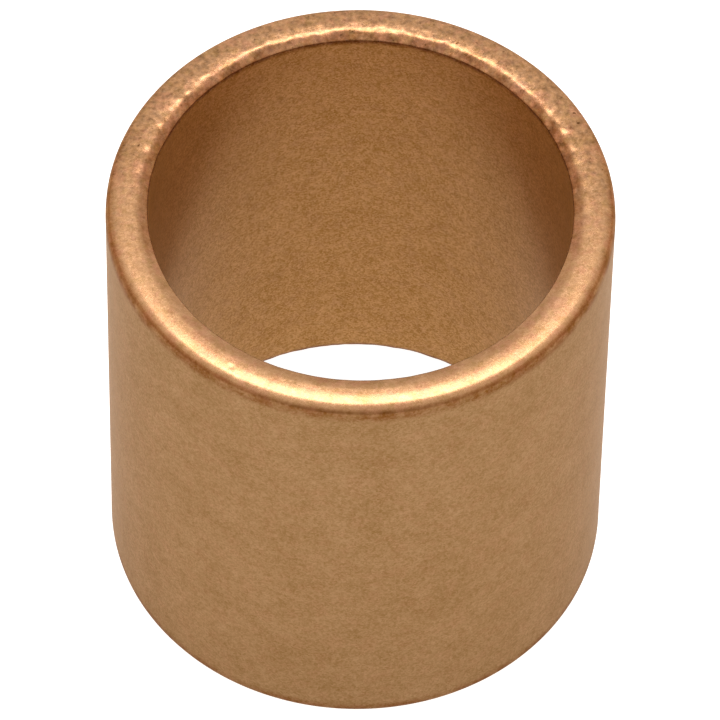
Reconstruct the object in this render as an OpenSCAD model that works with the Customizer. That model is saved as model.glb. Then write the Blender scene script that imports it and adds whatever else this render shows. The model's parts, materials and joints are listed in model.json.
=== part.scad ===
// Plain sleeve bushing of oil-impregnated sintered bronze.
// One pressed and sintered ring: a through bore, a plain outside and two alike ends.
// The origin is on the axis, in the plane of the lower end face, and +Z runs along the bore.

/* [Sleeve] */
// Diameter of the bore
bore_d = 20; // [8:0.5:60]
// Thickness of the wall, from the bore to the outside
wall_t = 2; // [1.6:0.1:8]
// Length, from one end face to the other
sleeve_l = 25; // [6:0.5:120]

/* [End faces] */
// Width of the outer chamfer, measured across the end face
outer_chamfer_w = 0.4; // [0.2:0.05:0.6]
// Depth of the outer chamfer, measured along the axis
outer_chamfer_h = 0.25; // [0.1:0.05:1]
// Width of the bore's chamfer, measured across the end face
bore_chamfer_w = 0.6; // [0.2:0.05:0.75]
// Depth of the bore's chamfer, measured along the bore
bore_chamfer_h = 0.25; // [0.1:0.05:1]
// Width of the gentle crown between the flat of the end face and the outer chamfer
crown_w = 0.5; // [0.1:0.05:1]
// Depth that the end face falls away over that crown
crown_h = 0.05; // [0.03:0.01:0.2]

/* [Hidden] */

bore_r = bore_d / 2;
outer_r = bore_r + wall_t;
// Narrowest flat ring that an end face keeps on a thin wall
least_flat_w = 0.1;
// The crown, limited by what the wall leaves for it
crown_run = min(crown_w, wall_t - outer_chamfer_w - bore_chamfer_w - least_flat_w);
// The flat ring of an end face, and where the crown ends and the outer chamfer begins
flat_inner_r = bore_r + bore_chamfer_w;
crown_r = outer_r - outer_chamfer_w;
flat_outer_r = crown_r - crown_run;
// Where the outer chamfer meets the outside, measured from the end face
edge_h = crown_h + outer_chamfer_h;

$fn = 96;

// The wall's section in a plane through the axis: up the bore, across the upper end,
// down the outside and back across the lower end
module wall_section() {
    polygon([
        [bore_r, bore_chamfer_h],
        [bore_r, sleeve_l - bore_chamfer_h],
        [flat_inner_r, sleeve_l],
        [flat_outer_r, sleeve_l],
        [crown_r, sleeve_l - crown_h],
        [outer_r, sleeve_l - edge_h],
        [outer_r, edge_h],
        [crown_r, crown_h],
        [flat_outer_r, 0],
        [flat_inner_r, 0]
    ]);
}

// The whole bushing: the section turned once about the axis
module sleeve() {
    color([0.69, 0.50, 0.32])
        rotate_extrude()
            wall_section();
}

sleeve();
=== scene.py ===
"""A plain sintered bronze sleeve bushing with soft, burnished rims, on a white table under a soft lamp."""

import json
import math
import random
from types import SimpleNamespace

import bmesh
import bpy
from mathutils import Matrix, Vector, noise


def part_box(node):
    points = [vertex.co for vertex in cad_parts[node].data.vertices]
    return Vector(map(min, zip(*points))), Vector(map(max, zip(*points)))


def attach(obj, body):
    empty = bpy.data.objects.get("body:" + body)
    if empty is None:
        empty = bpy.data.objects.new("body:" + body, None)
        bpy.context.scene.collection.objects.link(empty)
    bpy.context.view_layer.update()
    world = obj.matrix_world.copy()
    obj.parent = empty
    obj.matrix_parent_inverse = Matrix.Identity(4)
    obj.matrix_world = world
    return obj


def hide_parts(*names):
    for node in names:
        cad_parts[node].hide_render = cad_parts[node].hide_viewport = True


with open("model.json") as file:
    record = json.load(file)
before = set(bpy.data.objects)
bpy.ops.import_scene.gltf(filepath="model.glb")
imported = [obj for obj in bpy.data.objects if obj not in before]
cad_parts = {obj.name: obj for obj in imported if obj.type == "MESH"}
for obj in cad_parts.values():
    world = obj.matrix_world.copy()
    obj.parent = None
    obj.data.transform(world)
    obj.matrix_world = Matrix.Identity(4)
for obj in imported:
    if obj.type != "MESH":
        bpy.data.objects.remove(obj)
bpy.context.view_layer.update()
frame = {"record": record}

MM = 0.001
LOW, HIGH = (Vector(corner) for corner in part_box("sleeve"))
OUTER_R = min(HIGH.x, HIGH.y, -LOW.x, -LOW.y)
LENGTH = HIGH.z - LOW.z
BORE_R = next(m for m in frame["record"]["mounts"] if m["name"] == "bore")["dims"]["r_mm"] * MM


# ---------------------------------------------------------------- values of the mesh

# End profile, close to the CAD solid's, from the bore to the outside: across the face, along the axis
BORE_CHAMFER = (0.53 * MM, 0.23 * MM)
DOME = (0.57 * MM, 0.02 * MM)
CROWN = (0.50 * MM, 0.06 * MM)
OUTER_CHAMFER = (0.37 * MM, 0.17 * MM)
SHOULDER = (0.03 * MM, 0.40 * MM)
RIM_REACH = 1.40 * MM  # how far from the end the rim's own rows go

# Radii of the profile's rounded corners, from the bore to the outside
BORE_BLEND = 0.09 * MM
FACE_BLEND = 0.85 * MM
DOME_BLEND = 5.00 * MM
EDGE_BLEND = 1.20 * MM
SHOULDER_BLEND = 0.34 * MM
WALL_BLEND = 2.20 * MM

# Rows and columns
SEGMENTS = 640  # round the sleeve
RIM_STEP = 0.078 * MM  # between rows on the rims
LEAST_CORNER_STEPS = 4  # on a rounded corner
WALL_ROWS = 16  # up each wall

# How uneven the pressed metal is: depth and waves per millimetre
WALL_WAVE = (0.006 * MM, 0.25)
FACE_WAVE = (0.005 * MM, 0.8)
BORE_EDGE_WAVE = (0.070 * MM, 1.0)
WAVE_FRACTAL = (0.8, 2.2, 2)  # the noise's dimension, lacunarity and octaves
FACE_WAVE_FADE = (0.24 * MM, 0.50 * MM)  # from the end
BORE_EDGE_FADE = (0.5 * MM, 1.1 * MM)  # from the bore's wall
ROUGHER = (-4 * MM, 5 * MM)  # along Y, from the near side of the bore's edge to the rougher far side
NEAR_SHARE = 0.3  # how much of the far side's waves the near side has

# Small dents where the ends have been knocked
NICKS = 26
NICK_RADII = (BORE_R + 0.1 * MM, BORE_R + 0.5 * MM, OUTER_R - 0.2 * MM, OUTER_R - 0.8 * MM)
NICK_REACH = (0.12 * MM, 0.32 * MM)
NICK_DEPTH = (0.015 * MM, 0.045 * MM)
SEED = 11


# ---------------------------------------------------------------- values of the metal, in millimetres

# Colours of the walls, the rims, the painted shade on the edges and the mottles; the bore's and the near
# side's rim colours also carry painted light
OUTSIDE_COLOR = (0.267, 0.155, 0.067, 1)
# Bore colour: partly the bore's own warmer tone, partly painted bounce light that saturates it
BORE_AND_PAINTED_BOUNCE_COLOR = (0.408, 0.207, 0.064, 1)
RIM_COLOR = (0.298, 0.155, 0.072, 1)
# Near-side rim colour: burnished metal, painted lighter for the light that falls on that side
BURNISHED_AND_PAINTED_LIT_COLOR = (0.355, 0.192, 0.090, 1)
# Painted shade: a dark reflection of the room, put into the colour along the rounded outer edge
PAINTED_OUTER_SHADE_COLOR = (0.185, 0.078, 0.024, 1)
# Painted shade: a dark reflection of the room, put into the colour at the bore's edge
PAINTED_BORE_SHADE_COLOR = (0.200, 0.085, 0.035, 1)
PINK_COLOR = (0.325, 0.145, 0.078, 1)
OLIVE_COLOR = (0.255, 0.140, 0.052, 1)
PIT_COLOR = (0.110, 0.045, 0.016, 1)

# How the metal reflects
OUTSIDE_METALLIC = 0.80
BORE_METALLIC = 0.52
OUTSIDE_ROUGHNESS = 0.50
BORE_ROUGHNESS = 0.34
RIM_ROUGHNESS = 0.25
ROUGHNESS_GRAIN = 0.2  # how far the fine grain moves the roughness
GRAZING_TINT = (0.67, 0.59, 0.53, 1)
SPECULAR_LEVEL = 0.15

# Where a finish, a tone or a painted shade begins, and where it is full
BORE_HALF_FADE = 0.2  # each way from the middle of the wall
OUTSIDE_RIM = (0.50, 0.08)  # from the end, on the outer half of the wall
BORE_RIM = (0.39, 0.23)  # from the end, on the bore's half
# The painted shade on the rounded outer edge
OUTER_EDGE_TOP = (0.11, 0.30)  # from the end
OUTER_EDGE_FOOT = (1.00, 0.50)  # from the end
# The painted shade at the bore's edge
BORE_EDGE_WIDTH = (0.75, 0.25)  # from the bore's wall
BORE_EDGE_FOOT = (0.55, 0.30)  # from the end
SMOOTH_PAINTED_LIT_SIDE = (8, -2)  # along Y, from the rough far side to the burnished near side, whose rims are also painted lighter
SIDE_DRIFT = 6  # how far the border between the two wanders

# How much of the rough side's finish and painted bore-edge shade the burnished side has
PAINTED_SHADE_ON_SMOOTH = 0.4
SMOOTH_COARSENESS = 0.15

# Noise: waves per millimetre, octaves and roughness
DRIFT_NOISE = (0.12, 1.0, 0.5)
FINE_NOISE = (9.0, 2.0, 0.7)
COARSE_NOISE = (2.2, 2.0, 0.5)
CLOUD_NOISE = (0.5, 2.0, 0.5)
RIM_NOISE = (3.4, 2.0, 0.6)

# Powder: cells per millimetre, and a shift that makes the clumps differ from the single grains
POWDER_CELLS = 12.0
CLUMP_CELLS = 5.5
CLUMP_SHIFT = 20

# Mottles: a shift that makes each differ, their noise, and the noise where they begin and where they are full
PINK_MOTTLE = (40, (1.3, 3.0, 0.6), (0.46, 0.66))
OLIVE_MOTTLE = (80, (1.6, 3.0, 0.6), (0.50, 0.68))
PIT_MOTTLE = (120, (3.2, 2.0, 0.6), (0.66, 0.74))
# Patches that break up the painted shade on the edges
PAINTED_SHADE_PATCHES = (160, (1.1, 3.0, 0.6), (0.40, 0.56))
LEAST_PAINTED_SHADE = 0.45  # what is left of an edge's painted shade between its patches
WALL_MOTTLING = 0.12
RIM_MOTTLING = 0.55

# Grain: how much each pattern adds to its tone, and how strongly that tone shows
POWDER_SHARE = 0.75
BORE_POWDER_SHARE = 1.275
RIM_POWDER_SHARE = 0.35
CLUMP_SHARE = 0.16
FINE_SHARE = 0.80
COARSE_SHARE = 0.60
CLOUD_SHARE = 0.65
GRAIN_CONTRAST = 0.27
GRAIN_GREY = 0.14
RIM_CONTRAST = 1.6

# Relief: how high the grain stands
FINE_RELIEF = 0.0022
RIM_RELIEF = 0.007


# ---------------------------------------------------------------- values of the stage

CAMERA_PLACE = (0, -0.239703, 0.339919)
CAMERA_LENS = 421.39
SENSOR_WIDTH = 36
CAMERA_PITCH = 53.779  # degrees below the horizon
CAMERA_YAW = 0.025  # degrees to the right
CAMERA_ROLL = 1.095  # degrees

TABLE_HALF = 3.0
TABLE_ALBEDO = 0.50
TABLE_GLOW = 0.98

SKY_BACK = (1.50, 1.50, 1.50, 1)
SKY_FRONT = (0.74, 0.60, 0.46, 1)  # the darker, warmer room on the camera's side
SKY_SIDE = (0.95, 0.64, 0.40, 1)
SKY_BACK_FADE = (-1.1, 0.3)  # along Y, from the camera's side to the back
SKY_SIDE_FADE = (0.35, 0.75)  # along X, to either side

TOP_BOX = {"elevation": 71, "size": (0.22, 0.098), "strength": 10.0}
TOP_GLOW = {"elevation": 71, "size": (0.50, 0.19), "strength": 0.45}
LAMP_COLOR = (0.96, 0.96, 1.04)
LAMP_DISTANCE = 0.4


# ---------------------------------------------------------------- mesh

def rounded(points, radii, step):
    """The outline through points, with each corner rounded to its radius by steps of about this length."""
    outline = []
    for i, point in enumerate(points):
        if radii[i] == 0:
            outline.append(point)
            continue
        before = (points[i - 1] - point).normalized()
        after = (points[i + 1] - point).normalized()
        half = before.angle(after) / 2
        reach = radii[i] / math.tan(half)
        centre = point + (before + after).normalized() * radii[i] / math.sin(half)
        start = point + before * reach - centre
        turn = start.angle_signed(point + after * reach - centre)
        steps = max(LEAST_CORNER_STEPS, round(abs(turn) * radii[i] / step))
        for k in range(steps + 1):
            spun = start.copy()
            spun.rotate(Matrix.Rotation(-turn * k / steps, 2))
            outline.append(centre + spun)
    return outline


def filled(outline, step):
    """The outline with points added on its long stretches."""
    out = [outline[0]]
    for a, b in zip(outline, outline[1:]):
        pieces = max(1, round((b - a).length / step))
        out += [a.lerp(b, (k + 1) / pieces) for k in range(pieces)]
    return out


def rim_outline():
    """Radius and height of the upper end, from the bore's wall, over the rim, to the outside."""
    face = [Vector((BORE_R, LENGTH - BORE_CHAMFER[1])), Vector((BORE_R + BORE_CHAMFER[0], LENGTH))]
    for across, down in (DOME, CROWN, OUTER_CHAMFER, SHOULDER):
        face.append(face[-1] + Vector((across, -down)))
    points = [Vector((BORE_R, LENGTH - RIM_REACH)), *face, Vector((OUTER_R, LENGTH - RIM_REACH))]
    radii = [0, BORE_BLEND, FACE_BLEND, DOME_BLEND, EDGE_BLEND, SHOULDER_BLEND, WALL_BLEND, 0]
    return filled(rounded(points, radii, RIM_STEP), RIM_STEP)


def section():
    """The closed outline of the wall's section: upper rim, outside, lower rim, bore."""
    rim = rim_outline()
    lower = [Vector((p.x, LENGTH - p.y)) for p in reversed(rim)]
    outside = [rim[-1].lerp(lower[0], (k + 1) / WALL_ROWS) for k in range(WALL_ROWS - 1)]
    inside = [lower[-1].lerp(rim[0], (k + 1) / WALL_ROWS) for k in range(WALL_ROWS - 1)]
    return rim + outside + lower + inside


def step_up(value, low, high):
    """0 below low, 1 above high, and smooth between."""
    t = min(1, max(0, (value - low) / (high - low)))
    return t * t * (3 - 2 * t)


def unevenness(place):
    """How far the metal lies below its nominal surface there, never less than 0, so it stays in its box."""
    from_end = min(place.z, LENGTH - place.z)
    from_bore = math.hypot(place.x, place.y) - BORE_R
    near_end = 1 - step_up(from_end, *FACE_WAVE_FADE)
    near_bore = 1 - step_up(from_bore, *BORE_EDGE_FADE)
    rough = NEAR_SHARE + (1 - NEAR_SHARE) * step_up(place.y, *ROUGHER)
    waves = (
        (WALL_WAVE, 1),
        (FACE_WAVE, near_end),
        (BORE_EDGE_WAVE, near_end * near_bore * rough),
    )
    depth = 0
    for (deepest, per_mm), share in waves:
        wave = noise.fractal(place * per_mm / MM, *WAVE_FRACTAL)
        depth += share * deepest * min(1, max(0, 0.5 + 0.5 * wave))
    return depth


def nick_list():
    """The dents: centre, reach and depth of each."""
    rng = random.Random(SEED)
    nicks = []
    for _ in range(NICKS):
        angle = rng.uniform(0, 2 * math.pi)
        radius = rng.choice(NICK_RADII)
        height = rng.choice((0, LENGTH))
        centre = Vector((radius * math.cos(angle), radius * math.sin(angle), height))
        nicks.append((centre, rng.uniform(*NICK_REACH), rng.uniform(*NICK_DEPTH)))
    return nicks


def dent(place, nicks):
    """How far the deepest dent goes down there."""
    return max(depth * (1 - step_up((place - centre).length, 0, reach)) for centre, reach, depth in nicks)


def surface_rings(rows):
    """Points of the uneven surface: a ring of them for each point of the section."""
    nicks = nick_list()
    rings = []
    for i, row in enumerate(rows):
        along = rows[(i + 1) % len(rows)] - rows[i - 1]
        normal = Vector((-along.y, along.x)).normalized()
        on_rim = min(row.y, LENGTH - row.y) < RIM_REACH
        ring = []
        for k in range(SEGMENTS):
            angle = 2 * math.pi * k / SEGMENTS
            out = Vector((math.cos(angle), math.sin(angle), 0))
            place = row.x * out + Vector((0, 0, row.y))
            depth = unevenness(place)
            if on_rim:
                depth = max(depth, dent(place, nicks))
            ring.append(place - depth * (normal.x * out + Vector((0, 0, normal.y))))
        rings.append(ring)
    return rings


def sleeve_piece():
    """The whole sleeve as one closed mesh, with a UV map that runs round it and along its section."""
    rows = section()
    steps = [(b - a).length for a, b in zip(rows, rows[1:] + rows[:1])]
    along = [sum(steps[:i]) / sum(steps) for i in range(len(rows) + 1)]
    bm = bmesh.new()
    bake = bm.loops.layers.uv.new("OFBake")
    rings = [[bm.verts.new(point) for point in ring] for ring in surface_rings(rows)]
    for i, ring in enumerate(rings):
        after = rings[(i + 1) % len(rings)]
        for k in range(SEGMENTS):
            n = (k + 1) % SEGMENTS
            face = bm.faces.new((ring[k], after[k], after[n], ring[n]))
            face.smooth = True
            corners = ((k, i), (k, i + 1), (k + 1, i + 1), (k + 1, i))
            for loop, (column, row) in zip(face.loops, corners):
                loop[bake].uv = (column / SEGMENTS, along[row])
    mesh = bpy.data.meshes.new("sleeve_body")
    bm.to_mesh(mesh)
    bm.free()
    piece = bpy.data.objects.new("sleeve_body", mesh)
    bpy.context.collection.objects.link(piece)
    return piece


# ---------------------------------------------------------------- shader helpers

def add(tree, kind, values, **settings):
    """A new shader node with its settings made and its inputs filled, each from a socket or a plain value."""
    node = tree.nodes.new("ShaderNode" + kind)
    for name, value in settings.items():
        setattr(node, name, value)
    for key, value in values.items():
        if isinstance(value, bpy.types.NodeSocket):
            tree.links.new(value, node.inputs[key])
        else:
            node.inputs[key].default_value = value
    return node


def calc(tree, operation, *values):
    return add(tree, "Math", dict(enumerate(values)), operation=operation).outputs[0]


def plus(tree, a, b):
    return calc(tree, "ADD", a, b)


def minus(tree, a, b):
    return calc(tree, "SUBTRACT", a, b)


def times(tree, a, b):
    return calc(tree, "MULTIPLY", a, b)


def ramp(tree, value, begins, full, least=0.0):
    """Smoothly from least, where value is at begins, up to 1, where it is at full."""
    values = {"Value": value, "From Min": begins, "From Max": full, "To Min": least, "To Max": 1.0}
    return add(tree, "MapRange", values, interpolation_type="SMOOTHSTEP").outputs["Result"]


def blend(tree, factor, a, b):
    """The number a where factor is 0, and b where it is 1."""
    return add(tree, "Mix", {0: factor, 2: a, 3: b}, data_type="FLOAT").outputs[0]


def mix(tree, factor, a, b):
    """The colour a where factor is 0, and b where it is 1."""
    return add(tree, "Mix", {0: factor, 6: a, 7: b}, data_type="RGBA").outputs[2]


def vector_sum(tree, a, b):
    return add(tree, "VectorMath", {0: a, 1: b}, operation="ADD").outputs[0]


def shifted(tree, vector, by):
    """The vector, or colour, with by added to each of its parts."""
    return vector_sum(tree, vector, (by, by, by))


def scaled(tree, vector, factor):
    return add(tree, "VectorMath", {0: vector, 3: factor}, operation="SCALE").outputs[0]


def speckle(tree, place, settings):
    """Soft noise about 0.5, from one of the noise values above."""
    per_mm, octaves, roughness = settings
    values = {"Vector": place, "Scale": per_mm, "Detail": octaves, "Roughness": roughness}
    return add(tree, "TexNoise", values).outputs["Fac"]


def cells(tree, place, per_mm):
    """Powder particles: this many cells per millimetre, each with its own random value from 0 to 1."""
    own = add(tree, "TexVoronoi", {"Vector": place, "Scale": per_mm}).outputs["Color"]
    return add(tree, "SeparateXYZ", {0: own}).outputs[0]


def mottle(tree, place, settings, least=0.0):
    """Separate patches, 1 within them and least between them, from one of the mottle values above."""
    shift, pattern, (begins, full) = settings
    return ramp(tree, speckle(tree, shifted(tree, place, shift), pattern), begins, full, least)


def centred(tree, pattern):
    """The pattern, whose middle is at 0.5, moved so that its middle is at 0."""
    return minus(tree, pattern, 0.5)


# ---------------------------------------------------------------- material

def zones(tree, place):
    """Masks from 0 to 1 of the places that look different, from the place in millimetres, the painted edge
    shade and the painted light of the near side among them.
    """
    axes = add(tree, "SeparateXYZ", {0: place}).outputs
    squares = [calc(tree, "POWER", axes[i], 2) for i in (0, 1)]
    from_bore = minus(tree, calc(tree, "SQRT", plus(tree, *squares)), BORE_R / MM)
    from_end = calc(tree, "MINIMUM", axes[2], minus(tree, LENGTH / MM, axes[2]))

    half_wall = (OUTER_R - BORE_R) / 2 / MM
    in_bore = ramp(tree, from_bore, half_wall + BORE_HALF_FADE, half_wall - BORE_HALF_FADE)
    on_rim = blend(tree, in_bore, ramp(tree, from_end, *OUTSIDE_RIM), ramp(tree, from_end, *BORE_RIM))
    drift = times(tree, speckle(tree, place, DRIFT_NOISE), SIDE_DRIFT)
    # The near side, whose rims are painted lighter and carry less of the painted bore-edge shade
    smooth_painted_lit_side = ramp(tree, plus(tree, axes[1], drift), *SMOOTH_PAINTED_LIT_SIDE)

    # Painted shade along the rounded outer edge
    painted_outer_shade = times(tree, ramp(tree, from_end, *OUTER_EDGE_TOP), ramp(tree, from_end, *OUTER_EDGE_FOOT))
    # Painted shade at the bore's edge, weaker on the near side
    painted_bore_shade = times(tree, ramp(tree, from_bore, *BORE_EDGE_WIDTH), ramp(tree, from_end, *BORE_EDGE_FOOT))
    return SimpleNamespace(
        in_bore=in_bore,
        on_rim=on_rim,
        smooth_painted_lit_side=smooth_painted_lit_side,
        painted_outer_shade=times(tree, painted_outer_shade, minus(tree, 1.0, in_bore)),
        painted_bore_shade=times(tree, painted_bore_shade, blend(tree, smooth_painted_lit_side, 1.0, PAINTED_SHADE_ON_SMOOTH)),
        coarse_rim=times(tree, on_rim, blend(tree, smooth_painted_lit_side, 1.0, SMOOTH_COARSENESS)),
    )


def plain_color(tree, place, zone):
    """The metal's colour without its grain: walls and rims, the near side's rims painted lighter, then the
    painted shade on the edges, the mottles and the pits.
    """
    # The bore's colour carries painted bounce light
    color = mix(tree, zone.in_bore, OUTSIDE_COLOR, BORE_AND_PAINTED_BOUNCE_COLOR)
    # Rims, painted lighter on the near side
    color = mix(tree, zone.on_rim, color, mix(tree, zone.smooth_painted_lit_side, RIM_COLOR, BURNISHED_AND_PAINTED_LIT_COLOR))
    patches = mottle(tree, place, PAINTED_SHADE_PATCHES, LEAST_PAINTED_SHADE)
    mottling = blend(tree, zone.on_rim, WALL_MOTTLING, RIM_MOTTLING)
    layers = (
        # Painted shade along the rounded outer edge
        (zone.painted_outer_shade, patches, PAINTED_OUTER_SHADE_COLOR),
        # Painted shade at the bore's edge
        (zone.painted_bore_shade, patches, PAINTED_BORE_SHADE_COLOR),
        (mottle(tree, place, PINK_MOTTLE), mottling, PINK_COLOR),
        (mottle(tree, place, OLIVE_MOTTLE), mottling, OLIVE_COLOR),
        (mottle(tree, place, PIT_MOTTLE), zone.coarse_rim, PIT_COLOR),
    )
    for area, share, layer in layers:
        color = mix(tree, times(tree, area, share), color, layer)
    return color


def grained_color(tree, place, zone, fine, rim_grain):
    """The metal's colour with its grain: powder and noise all over, and coarser grain on the rims."""
    color = plain_color(tree, place, zone)
    powder_share = blend(tree, zone.in_bore, POWDER_SHARE, BORE_POWDER_SHARE)
    powder_share = blend(tree, zone.on_rim, powder_share, RIM_POWDER_SHARE)
    patterns = (
        (cells(tree, place, POWDER_CELLS), powder_share),
        (cells(tree, shifted(tree, place, CLUMP_SHIFT), CLUMP_CELLS), CLUMP_SHARE),
        (fine, FINE_SHARE),
        (speckle(tree, place, COARSE_NOISE), COARSE_SHARE),
        (speckle(tree, place, CLOUD_NOISE), CLOUD_SHARE),
    )
    tone, *others = (times(tree, centred(tree, pattern), share) for pattern, share in patterns)
    for other in others:
        tone = plus(tree, tone, other)
    grain = scaled(tree, shifted(tree, color, GRAIN_GREY), times(tree, tone, GRAIN_CONTRAST))
    rim_tone = times(tree, centred(tree, rim_grain), times(tree, zone.coarse_rim, RIM_CONTRAST))
    return vector_sum(tree, scaled(tree, color, plus(tree, rim_tone, 1.0)), grain)


def sintered_bronze():
    """Pressed and sintered bronze powder, dull outside, warmer in the bore with painted bounce light,
    burnished on the rims, with painted shade on their edges and painted light on their near side.
    """
    mat = bpy.data.materials.new("sintered_bronze")
    mat.use_nodes = True
    tree = mat.node_tree
    shader = tree.nodes["Principled BSDF"]
    shader.inputs["Specular Tint"].default_value = GRAZING_TINT
    shader.inputs["Specular IOR Level"].default_value = SPECULAR_LEVEL

    place = scaled(tree, add(tree, "TexCoord", {}).outputs["Object"], 1 / MM)
    zone = zones(tree, place)
    fine = speckle(tree, place, FINE_NOISE)
    rim_grain = speckle(tree, place, RIM_NOISE)

    metallic = blend(tree, zone.in_bore, OUTSIDE_METALLIC, BORE_METALLIC)
    metallic = blend(tree, zone.on_rim, metallic, OUTSIDE_METALLIC)
    rough = blend(tree, zone.in_bore, OUTSIDE_ROUGHNESS, BORE_ROUGHNESS)
    rough = blend(tree, zone.on_rim, rough, RIM_ROUGHNESS)
    rough = plus(tree, rough, times(tree, centred(tree, fine), ROUGHNESS_GRAIN))
    rim_relief = times(tree, rim_grain, times(tree, zone.coarse_rim, RIM_RELIEF))
    relief = plus(tree, times(tree, fine, FINE_RELIEF), rim_relief)
    bump = add(tree, "Bump", {"Height": relief, "Distance": MM, "Strength": 1.0})

    tree.links.new(grained_color(tree, place, zone, fine, rim_grain), shader.inputs["Base Color"])
    tree.links.new(metallic, shader.inputs["Metallic"])
    tree.links.new(rough, shader.inputs["Roughness"])
    tree.links.new(bump.outputs[0], shader.inputs["Normal"])
    return mat


# ---------------------------------------------------------------- stage

def camera():
    """The camera at the photo's angle, with a long lens, looking down into the bore."""
    cam = bpy.data.cameras.new("camera")
    cam.lens = CAMERA_LENS
    cam.sensor_width = SENSOR_WIDTH
    cam.clip_start = 0.01
    cam.clip_end = 20
    obj = bpy.data.objects.new("camera", cam)
    bpy.context.collection.objects.link(obj)
    yaw = Matrix.Rotation(math.radians(-CAMERA_YAW), 4, "Z")
    pitch = Matrix.Rotation(math.radians(90 - CAMERA_PITCH), 4, "X")
    roll = Matrix.Rotation(math.radians(CAMERA_ROLL), 4, "Z")
    obj.matrix_world = Matrix.Translation(CAMERA_PLACE) @ yaw @ pitch @ roll
    bpy.context.scene.camera = obj


def softbox(name, elevation, size, strength):
    """A soft lamp behind the sleeve, this many degrees above the table as seen from the upper end."""
    light = bpy.data.lights.new(name, "AREA")
    light.shape = "RECTANGLE"
    light.size, light.size_y = size
    light.energy = strength * math.pi * size[0] * size[1]
    light.color = LAMP_COLOR
    obj = bpy.data.objects.new(name, light)
    bpy.context.collection.objects.link(obj)
    angle = math.radians(elevation)
    away = Vector((0, math.cos(angle), math.sin(angle)))
    obj.location = Vector((0, 0, LENGTH)) + LAMP_DISTANCE * away
    obj.rotation_euler = (-away).to_track_quat("-Z", "Y").to_euler()


def floor():
    """A large white table, which glows by itself so that it stays pale all over."""
    corners = [(x * TABLE_HALF, y * TABLE_HALF, 0) for x, y in ((-1, -1), (1, -1), (1, 1), (-1, 1))]
    mesh = bpy.data.meshes.new("table")
    mesh.from_pydata(corners, [], [(0, 1, 2, 3)])
    obj = bpy.data.objects.new("table", mesh)
    bpy.context.collection.objects.link(obj)
    mat = bpy.data.materials.new("white_table")
    mat.use_nodes = True
    shader = mat.node_tree.nodes["Principled BSDF"]
    shader.inputs["Base Color"].default_value = (TABLE_ALBEDO, TABLE_ALBEDO, TABLE_ALBEDO, 1)
    shader.inputs["Roughness"].default_value = 1.0
    shader.inputs["Emission Color"].default_value = (1, 1, 1, 1)
    shader.inputs["Emission Strength"].default_value = TABLE_GLOW
    mesh.materials.append(mat)


def sky():
    """A bright studio behind and above, darker and warmer at the sides and on the camera's side."""
    world = bpy.data.worlds.new("studio")
    world.use_nodes = True
    tree = world.node_tree
    way = add(tree, "TexCoord", {}).outputs["Generated"]
    axes = add(tree, "SeparateXYZ", {0: way}).outputs
    color = mix(tree, ramp(tree, axes[1], *SKY_BACK_FADE), SKY_FRONT, SKY_BACK)
    to_side = ramp(tree, calc(tree, "ABSOLUTE", axes[0]), *SKY_SIDE_FADE)
    tree.links.new(mix(tree, to_side, color, SKY_SIDE), tree.nodes["Background"].inputs["Color"])
    bpy.context.scene.world = world


# ---------------------------------------------------------------- assembly

scene = bpy.context.scene
scene.view_settings.view_transform = "Standard"
scene.view_settings.look = "None"

piece = sleeve_piece()
piece.data.materials.append(sintered_bronze())
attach(piece, "root")
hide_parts("sleeve")

camera()
floor()
sky()
softbox("top_softbox", **TOP_BOX)
softbox("top_glow", **TOP_GLOW)
